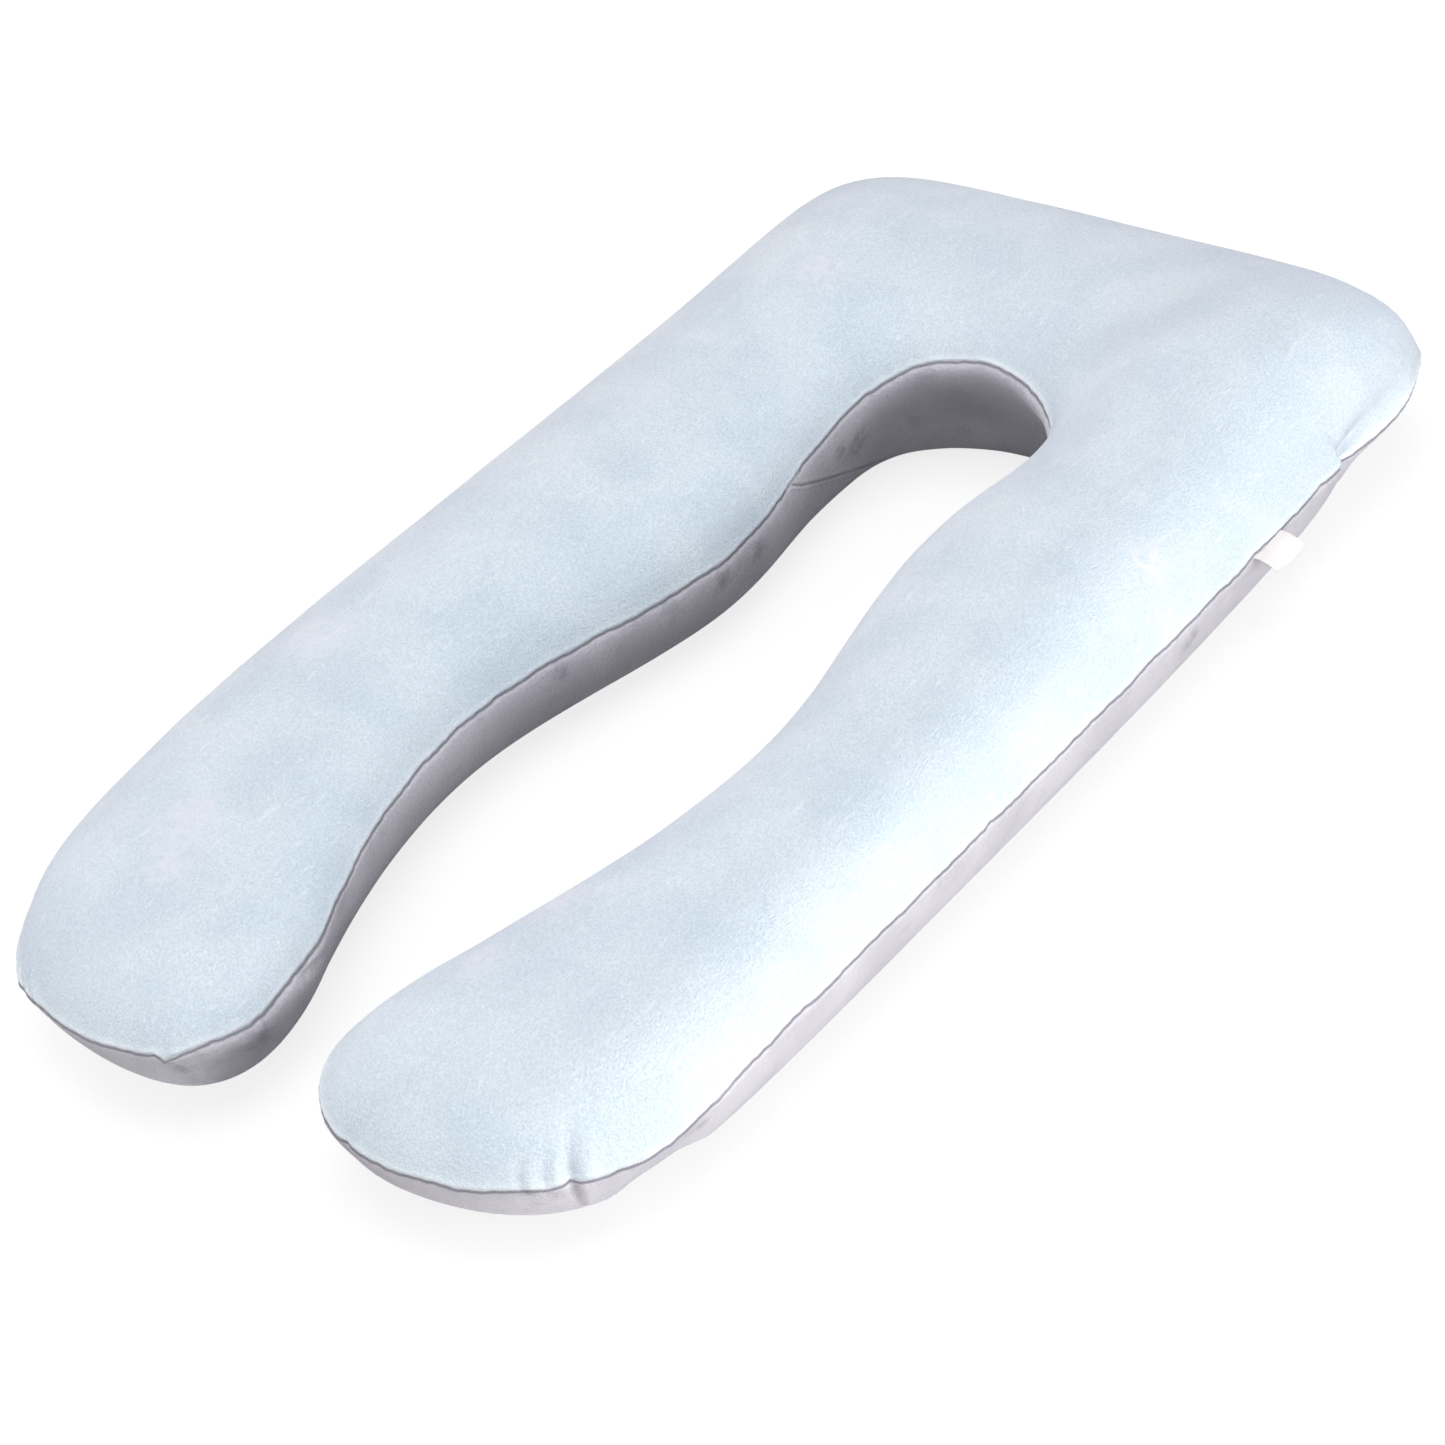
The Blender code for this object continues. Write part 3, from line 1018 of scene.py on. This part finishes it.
@dataclass(frozen=True)
class VelvetFinish:
    """Short-pile polyester velvet.

    The pile lies a little one way or the other where a hand has brushed it, which leaves soft lighter and darker
    patches and fine light hairlines. It scatters light at grazing angles, so its edges look paler than its face.
    Real strands of pile are a few tenths of a millimetre apart, too fine for the picture, so the grain and the
    hairlines are drawn coarser than they are, at the size where they show.
    """

    name: str
    brushed_up: str
    brushed_down: str
    hairline: str
    smudge: str
    # turned is painted at the turned edge: a highlight on the blue, shade in the seam and the join on the grey.
    turned: str
    # pressed is pressed pile, and on the grey partly painted shade in slack folds.
    pressed: str
    sheen: float
    sheen_colour: str
    patches: Clouds = Clouds(85.0, 2.0, 0.5, 0.15, (0.34, 0.66))
    smudges: Clouds = Clouds(26.0, 2.0, 0.5, 0.9, (0.54, 0.86), 0.55)
    hairlines: Clouds = Clouds(4.5, 1.0, 0.5, 0.6, (0.63, 0.82), 0.60)
    tufts: Clouds = Clouds(11.0, 3.0, 0.6, 0.8, (0.20, 0.64), 0.75)
    grain: Clouds = Clouds(1.7, 2.0, 0.6, 0.0, (0.35, 0.65))
    hairline_stroke: tuple = (35.0, 0.14)
    grain_stroke: tuple = (-20.0, 0.65)
    speckle: float = 0.11
    light_fleck_share: float = 0.6
    edge_mm: float = 4.4
    edge_share: float = 0.90
    pebble_mm: float = 5.0
    pebble_share: float = 0.25
    pile_depth: float = 0.0015
    dullness: tuple = (0.72, 0.92)

    def build(self) -> bpy.types.Material:
        """Makes the material.

        Returns:
            The velvet.
        """
        made = bpy.data.materials.new(self.name)
        made.use_nodes = True
        tree = made.node_tree
        shader = tree.nodes["Principled BSDF"]
        where = add_node(tree, "ShaderNodeTexCoord").outputs["Object"]
        lie = self.patches.show(tree, self.patches.draw(tree, where))
        grain = self.grain.draw(tree, stroked(tree, where, *self.grain_stroke))
        colour = self._brushed(tree, where, lie)
        colour = self._flecked(tree, colour, grain)
        colour = self._pressed_and_painted_edge(tree, where, colour)
        rough = mapped(tree, lie, (0.0, 1.0), self.dullness)
        tree.links.new(colour, shader.inputs["Base Color"])
        tree.links.new(rough, shader.inputs["Roughness"])
        tree.links.new(self._pile(tree, where, grain), shader.inputs["Normal"])
        shader.inputs["Specular IOR Level"].default_value = 0.25
        shader.inputs["Sheen Weight"].default_value = self.sheen
        shader.inputs["Sheen Roughness"].default_value = 0.38
        shader.inputs["Sheen Tint"].default_value = to_linear(self.sheen_colour)
        return made

    def _brushed(self, tree: Tree, where: Socket, lie: Socket) -> Socket:
        """Colours the face: brushed up or down, smudged here and there, with fine light hairlines.

        Args:
            tree: The material's node tree.
            where: The place on the cloth.
            lie: Which way the pile lies.

        Returns:
            The colour's socket.
        """
        face = blended(tree, lie, self.brushed_up, self.brushed_down)
        smudged = self.smudges.show(tree, self.smudges.draw(tree, where))
        worn = blended(tree, smudged, face, self.smudge)
        strokes = self.hairlines.draw(tree, stroked(tree, where, *self.hairline_stroke))
        return blended(tree, self.hairlines.show(tree, strokes), worn, self.hairline)

    def _flecked(self, tree: Tree, colour: Socket, grain: Socket) -> Socket:
        """Lightens and darkens the colour by the grain of the pile.

        Args:
            tree: The material's node tree.
            colour: The colour so far.
            grain: The grain's pattern.

        Returns:
            The colour's socket.
        """
        ends = (1 - self.speckle, 1 + self.light_fleck_share * self.speckle)
        fleck = mapped(tree, grain, self.grain.span, ends)
        settings = {"data_type": "RGBA", "blend_type": "MULTIPLY", 0: 1.0}
        return add_node(tree, "ShaderNodeMix", settings, {6: colour, 7: fleck}).outputs[2]

    def _pressed_and_painted_edge(self, tree: Tree, where: Socket, colour: Socket) -> Socket:
        """Marks pressed places in ragged tufts, and paints the turned edge: highlight on the blue, shade on the
        grey.

        Args:
            tree: The material's node tree.
            where: The place on the cloth.
            colour: The colour so far.

        Returns:
            The colour's socket.
        """
        # The pressed colour is pressed pile, and on the grey partly painted shade in slack folds.
        press = add_node(tree, "ShaderNodeAttribute", {"attribute_name": "pressed_pile_and_shade"}).outputs["Fac"]
        tufts = self.tufts.draw(tree, where)
        ragged = add_node(tree, "ShaderNodeMath", {"operation": "MULTIPLY"}, {0: press, 1: tufts}).outputs[0]
        laid = blended(tree, self.tufts.show(tree, ragged), colour, self.pressed)
        # The turned edge is painted: a highlight on the blue, shade in the seam and the join on the grey.
        edge = add_node(tree, "ShaderNodeAttribute", {"attribute_name": "edge_highlight_and_shade"}).outputs["Fac"]
        settings = {"operation": "MULTIPLY", 1: self.edge_share}
        shown = add_node(tree, "ShaderNodeMath", settings, {0: edge}).outputs[0]
        return blended(tree, shown, laid, self.turned)

    def _pile(self, tree: Tree, where: Socket, grain: Socket) -> Socket:
        """Gives the pile its fine relief.

        Args:
            tree: The material's node tree.
            where: The place on the cloth.
            grain: The grain's pattern.

        Returns:
            The socket of the surface's direction.
        """
        settings = {"feature": "SMOOTH_F1", "Scale": 1 / (self.pebble_mm * MM), "Smoothness": 0.9}
        pebble = add_node(tree, "ShaderNodeTexVoronoi", settings, {"Vector": where}).outputs["Distance"]
        settings = {"operation": "MULTIPLY_ADD", 1: self.pebble_share}
        relief = add_node(tree, "ShaderNodeMath", settings, {0: pebble, 2: grain}).outputs[0]
        settings = {"Strength": 0.9, "Distance": self.pile_depth}
        return add_node(tree, "ShaderNodeBump", settings, {"Height": relief}).outputs["Normal"]


# The blue pile shows its light side when it is pressed, and its turned edge is painted nearly white as a highlight.
LIGHT_BLUE_VELVET = VelvetFinish(
    name="light_blue_velvet",
    brushed_up="#D9E4EC",
    brushed_down="#D0DDE7",
    hairline="#EAF1F7",
    smudge="#CBDAE5",
    turned="#FBFDFF",
    pressed="#E6E7F1",
    sheen=0.55,
    sheen_colour="#F6F0FF",
)
# The grey pile shows its dark root when it is pressed, and in slack folds that dark is partly painted shade.
# Its turned edge and the join's groove are painted dark, as shade in the seam and the join.
SOFT_GREY_VELVET = VelvetFinish(
    name="soft_grey_velvet",
    brushed_up="#DFDCE4",
    brushed_down="#D2CFD8",
    hairline="#EBE9EF",
    smudge="#B6B4BF",
    turned="#5C5A66",
    pressed="#8A8899",
    sheen=1.0,
    sheen_colour="#F6F2FA",
    speckle=0.10,
    edge_mm=0.8,
    edge_share=0.8,
)


@dataclass(frozen=True)
class SatinFinish:
    """Woven polyester satin tape. Its fine ribs across the tape give it a faint, even lustre."""

    name: str
    colour: str
    rib_mm: float = 0.9
    rib_depth: float = 0.00015
    cloud_mm: float = 9.0
    shade: float = 0.93

    def build(self) -> bpy.types.Material:
        """Makes the material.

        Returns:
            The satin.
        """
        made = bpy.data.materials.new(self.name)
        made.use_nodes = True
        tree = made.node_tree
        shader = tree.nodes["Principled BSDF"]
        where = add_node(tree, "ShaderNodeTexCoord").outputs["Object"]
        # A wave texture of scale 1 has one band in 0.314 m.
        settings = {"bands_direction": "Y", "Scale": 0.314 / (self.rib_mm * MM), "Distortion": 0.3}
        ribs = add_node(tree, "ShaderNodeTexWave", settings, {"Vector": where}).outputs["Fac"]
        settings = {"Strength": 0.3, "Distance": self.rib_depth}
        bump = add_node(tree, "ShaderNodeBump", settings, {"Height": ribs}).outputs["Normal"]
        settings = {"Scale": 1 / (self.cloud_mm * MM), "Detail": 2.0}
        tone = add_node(tree, "ShaderNodeTexNoise", settings, {"Vector": where}).outputs["Fac"]
        base = to_linear(self.colour)
        settings = {"data_type": "RGBA", 6: base, 7: tuple(self.shade * c for c in base[:3]) + (1.0,)}
        colour = add_node(tree, "ShaderNodeMix", settings, {0: tone}).outputs[2]
        tree.links.new(colour, shader.inputs["Base Color"])
        tree.links.new(bump, shader.inputs["Normal"])
        shader.inputs["Roughness"].default_value = 0.48
        return made


@dataclass
class TopPanel:
    """The light blue velvet panel over the crown, turned in at the seam.

    The wide highlight is the stretch at the head's right corner where the turned edge's painted highlight is wider.
    """

    sewn: SewnForm
    sewing: Sewing
    thick: float = 0.0018
    far_rows: int = 18
    wide_highlight_place: tuple = (0.330, 0.500)
    wide_highlight_half_length: float = 0.100
    wide_highlight_gain: float = 0.7

    def build(self, velvet: VelvetFinish) -> bpy.types.Object:
        """Builds the panel as a closed thin sheet.

        Args:
            velvet: Its finish.

        Returns:
            The panel.
        """
        grid = self.sewn.grid(Cloth.TOP, self.far_rows)
        outer = self.sewing.apply(grid)
        shaped = ClothGrid(Cloth.TOP, outer, grid.reach)
        inner = outer - shaped.normals * self.thick
        near = len(self.sewn.near_rows)
        kept = list(range(near)) + list(range(near + 1, near + self.far_rows, 2))
        columns = np.concatenate([outer[:, ::-1], inner[:, kept]], axis=1)
        panel = shell_object("blue_top_panel", columns, velvet.build())
        # The turned edge's painted highlight is wider at the head's right corner.
        beside = self.sewn.from_place(self.sewn.place_of(*self.wide_highlight_place)) / self.wide_highlight_half_length
        wider = 1 + self.wide_highlight_gain * np.exp(-(beside**4))
        mark_edge_highlight_and_shade(panel, outer[:, 0], velvet.edge_mm * MM * wider)
        mark_pressed_pile_and_shade(panel, Cloth.TOP)
        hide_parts("top_panel")
        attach(panel, "root")
        return panel


@dataclass
class FilledBody:
    """The grey velvet under panel with the filling in it, up to just under the blue panel.

    The join is the stitched line across the grey panel, a groove between two soft swells, with painted shade in it.
    """

    sewn: SewnForm
    sewing: Sewing
    cover: float = 0.0024
    crown_far_rows: int = 5
    under_far_rows: int = 22
    join_width: float = 0.0011
    join_depth: float = 0.0013
    join_reach: float = 0.007
    join_refined: tuple = (0.010, 0.006)
    join_shade: float = 0.9
    join_near_x: float = 0.03
    join_y: tuple = (0.16, 0.37)
    join_top: float = 0.11
    swell_height: float = 0.35
    swell_place: float = 0.0030
    swell_width: float = 0.0014
    stitch_length: float = 0.0045
    stitch_share: float = 0.25

    def build(self, velvet: VelvetFinish) -> bpy.types.Object:
        """Builds the filled body as one closed form.

        Args:
            velvet: Its finish.

        Returns:
            The body.
        """
        crown = self.sewn.grid(Cloth.TOP, self.crown_far_rows)
        top = self.sewing.apply(crown)
        top = top - ClothGrid(Cloth.TOP, top, crown.reach).normals * self.cover
        under = self.sewn.grid(Cloth.UNDER, self.under_far_rows)
        below = self.sewing.apply(under)
        columns = np.concatenate([top[:, ::-1], below], axis=1)
        body = shell_object("grey_filled_body", columns, velvet.build())
        joined = self._sew_join(body)
        # The grey's turned edge and the join's groove get painted shade.
        mark_edge_highlight_and_shade(body, below[:, 0], np.full(len(below), velvet.edge_mm * MM), joined)
        mark_pressed_pile_and_shade(body, Cloth.UNDER)
        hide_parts("pillow_body")
        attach(body, "root")
        return body

    def _sew_join(self, body: bpy.types.Object) -> dict:
        """Draws in the narrow stitched join of the under panel, and makes the mesh finer there first.

        Args:
            body: The filled body.

        Returns:
            How much painted shade each vertex in the join's groove gets, by its number.
        """
        shaped = bmesh.new()
        shaped.from_mesh(body.data)
        for gap in self.join_refined:
            close = []
            for edge in shaped.edges:
                middle = (edge.verts[0].co + edge.verts[1].co) / 2
                if self._join_gap(middle, edge.verts[0].normal)[0] < gap:
                    close.append(edge)
            bmesh.ops.subdivide_edges(shaped, edges=close, cuts=1, use_grid_fill=True)
            shaped.normal_update()
        moves = []
        joined = {}
        shaped.verts.index_update()
        for vert in shaped.verts:
            gap, along = self._join_gap(vert.co, vert.normal)
            if gap < self.join_reach:
                pull = math.cos(2 * math.pi * along / self.stitch_length)
                stitch = 1 - self.stitch_share + self.stitch_share * pull
                groove = math.exp(-((gap / self.join_width) ** 2)) * stitch
                swell = self.swell_height * math.exp(-(((gap - self.swell_place) / self.swell_width) ** 2))
                moves.append((vert, vert.normal * self.join_depth * (swell - groove)))
                joined[vert.index] = self.join_shade * groove
        for vert, move in moves:
            vert.co += move
        shaped.to_mesh(body.data)
        shaped.free()
        body.data.shade_smooth()
        return joined

    def _join_gap(self, place: Vector, normal: Vector) -> tuple[float, float]:
        """Measures how far a place on the cloth is from the join, across the surface.

        Args:
            place: The place.
            normal: The cloth's outward direction there.

        Returns:
            The gap, and how far along the join its nearest point is.
        """
        low, high = self.join_y
        if abs(place.x - JOIN[3][0]) > self.join_near_x or not low < place.y < high or place.z > self.join_top:
            return math.inf, 0.0
        best, best_along, passed = math.inf, 0.0, 0.0
        for first, second in zip(JOIN[:-1], JOIN[1:]):
            start, run = Vector(first), Vector(second) - Vector(first)
            share = min(1.0, max(0.0, (place - start).dot(run) / run.length_squared))
            across = place - start - run * share
            across -= normal * across.dot(normal)
            if across.length < best:
                best, best_along = across.length, passed + share * run.length
            passed += run.length
        return best, best_along


@dataclass
class SeamLabel:
    """The bare label: a folded satin tape with its two ends sewn into the seam.

    fall is the line it droops along, in millimetres out from the seam and up.
    """

    root_x: float = 0.3225
    middle_y: float = 0.279
    root_z: float = 0.0945
    wide: float = 0.044
    deep: float = 0.026
    thick: float = 0.0008
    steps: int = 13
    curl: float = 0.0012
    lean: float = 0.0010
    fall: tuple = ((0.0, 0.0), (5.0, 0.3), (10.0, -0.4), (15.0, -2.2), (20.0, -4.9), (24.5, -8.2))

    def build(self, satin: bpy.types.Material) -> bpy.types.Object:
        """Builds the label as one closed tape.

        Args:
            satin: Its finish.

        Returns:
            The label.
        """
        shaped = bmesh.new()
        rows = []
        for k in range(self.steps):
            share = k / (self.steps - 1)
            y = self.middle_y + (share - 0.5) * self.wide
            lift = self.curl * math.cos(share * math.pi * 2) - self.lean * share
            row = []
            for out, rise in self.fall:
                z = self.root_z + rise * MM + lift * out / self.fall[-1][0]
                row.append(shaped.verts.new((self.root_x + out * MM, y, z)))
            rows.append(row)
        for first, second in zip(rows[:-1], rows[1:]):
            for k in range(len(first) - 1):
                shaped.faces.new((first[k], first[k + 1], second[k + 1], second[k]))
        data = bpy.data.meshes.new("bare_seam_label")
        shaped.to_mesh(data)
        shaped.free()
        data.materials.append(satin)
        data.shade_smooth()
        label = bpy.data.objects.new("bare_seam_label", data)
        bpy.context.scene.collection.objects.link(label)
        smooth = label.modifiers.new("soft bend", "SUBSURF")
        smooth.levels = smooth.render_levels = 2
        doubled = label.modifiers.new("folded tape", "SOLIDIFY")
        doubled.thickness = self.thick
        doubled.offset = 0.0
        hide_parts("seam_label")
        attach(label, "root")
        return label


@dataclass
class Studio:
    """A pale floor, soft light from the right and above, and the camera of the product picture.

    The surround glows less below the horizon, so that the sheltered sides stay dark.
    """

    azimuth: float = 42.98
    elevation: float = 34.96
    roll: float = 10.44
    distance: float = 3.754
    target: tuple = (-0.008, 0.014, 0.09)
    focal_px: float = 4486.4
    centre_px: tuple = (761.8, 619.0)
    frame_px: float = 1445.0
    sensor_mm: float = 36.0
    aim: tuple = (0.0, 0.0, 0.1)
    floor_half: float = 20.0
    floor_drop: float = 0.0006
    floor_glow: float = 0.80
    sky_heights: tuple = (-0.35, 0.15)
    sky_glow: tuple = (0.06, 0.42)

    def place_camera(self) -> bpy.types.Object:
        """Places the camera.

        Returns:
            The scene's camera.
        """
        a, e, r = (math.radians(x) for x in (self.azimuth, self.elevation, self.roll))
        back = Vector((math.sin(a) * math.cos(e), -math.cos(a) * math.cos(e), math.sin(e)))
        right = Vector((math.cos(a), math.sin(a), 0.0))
        up = back.cross(right)
        image_right = right * math.cos(r) - up * math.sin(r)
        image_up = right * math.sin(r) + up * math.cos(r)
        data = bpy.data.cameras.new("product_camera")
        data.sensor_width = self.sensor_mm
        data.lens = self.focal_px / self.frame_px * self.sensor_mm
        data.shift_x = (self.frame_px / 2 - self.centre_px[0]) / self.frame_px
        data.shift_y = (self.centre_px[1] - self.frame_px / 2) / self.frame_px
        data.clip_start, data.clip_end = 0.05, 60.0
        camera = bpy.data.objects.new("product_camera", data)
        turn = Matrix((image_right, image_up, back)).transposed().to_4x4()
        camera.matrix_world = Matrix.Translation(Vector(self.target) + back * self.distance) @ turn
        bpy.context.scene.collection.objects.link(camera)
        bpy.context.scene.camera = camera
        return camera

    def softbox(self, box: Softbox) -> bpy.types.Object:
        """Adds a soft rectangular light that points at the pillow and doesn't show itself.

        Args:
            box: The light's row in the table.

        Returns:
            The light.
        """
        data = bpy.data.lights.new(box.name, "AREA")
        data.shape = "RECTANGLE"
        data.size, data.size_y = box.size
        data.energy = box.power
        data.color = to_linear(box.colour)[:3]
        light = bpy.data.objects.new(box.name, data)
        light.location = box.place
        light.rotation_euler = (Vector(self.aim) - Vector(box.place)).to_track_quat("-Z", "Y").to_euler()
        light.visible_camera = False
        bpy.context.scene.collection.objects.link(light)
        return light

    def floor(self) -> bpy.types.Object:
        """Lays the pale floor, which glows so that it stays white, without lighting the pillow.

        Returns:
            The floor.
        """
        made = bpy.data.materials.new("pale_studio_paper")
        made.use_nodes = True
        shader = made.node_tree.nodes["Principled BSDF"]
        shader.inputs["Base Color"].default_value = to_linear("#8E8E8E")
        shader.inputs["Roughness"].default_value = 0.9
        shader.inputs["Specular IOR Level"].default_value = 0.0
        shader.inputs["Emission Color"].default_value = (1.0, 1.0, 1.0, 1.0)
        shader.inputs["Emission Strength"].default_value = self.floor_glow
        data = bpy.data.meshes.new("studio_floor")
        half = self.floor_half
        corners = [(-half, -half, 0.0), (half, -half, 0.0), (half, half, 0.0), (-half, half, 0.0)]
        data.from_pydata(corners, [], [(0, 1, 2, 3)])
        data.materials.append(made)
        paper = bpy.data.objects.new("studio_floor", data)
        paper.location.z = -self.floor_drop
        paper.visible_diffuse = False
        bpy.context.scene.collection.objects.link(paper)
        return paper

    def light(self) -> None:
        """Lights the scene: a white surround that dims below the horizon, and the soft boxes."""
        world = bpy.data.worlds.new("white_surround")
        world.use_nodes = True
        tree = world.node_tree
        sky = tree.nodes["Background"]
        sky.inputs["Color"].default_value = to_linear("#FBFCFF")
        direction = add_node(tree, "ShaderNodeTexCoord").outputs["Generated"]
        height = add_node(tree, "ShaderNodeSeparateXYZ", {}, {0: direction}).outputs["Z"]
        tree.links.new(mapped(tree, height, self.sky_heights, self.sky_glow), sky.inputs["Strength"])
        bpy.context.scene.world = world
        for box in SOFTBOXES:
            self.softbox(box)
        bpy.context.scene.view_settings.view_transform = "Standard"


def seam_shift(form: PillowForm, low: tuple, high: tuple) -> np.ndarray:
    """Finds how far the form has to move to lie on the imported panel.

    Args:
        form: The smooth form, as its tables give it.
        low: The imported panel's lowest corner.
        high: Its highest corner.

    Returns:
        The move, which is level.
    """
    loop = form.surface(Cloth.TOP, np.linspace(0, 2 * form.half, 4000), np.linspace(0, 2, 21)).reshape(-1, 3)
    middle = (loop.min(axis=0) + loop.max(axis=0)) / 2
    return np.array([(low[0] + high[0]) / 2 - middle[0], (low[1] + high[1]) / 2 - middle[1], 0.0])


def main() -> None:
    """Builds every piece in order and reports each."""
    logging.basicConfig(level=logging.INFO, format="%(name)s: %(message)s")
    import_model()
    form = PillowForm()
    sewn = SewnForm(form, seam_shift(form, *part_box("top_panel")))
    sewing = Sewing(sewn)
    LOG.info("seam loop %.2f m long on %d columns", sewn.length, len(sewn.place))

    panel = TopPanel(sewn, sewing).build(LIGHT_BLUE_VELVET)
    LOG.info("top panel: %d faces", len(panel.data.polygons))
    body = FilledBody(sewn, sewing).build(SOFT_GREY_VELVET)
    LOG.info("filled body: %d faces", len(body.data.polygons))
    label = SeamLabel().build(SatinFinish("white_satin_tape", "#EDE8E6").build())
    LOG.info("label: %s", label.name)

    studio = Studio()
    studio.floor()
    studio.light()
    studio.place_camera()
    LOG.info("studio is set")


if __name__ == "__main__":
    main()
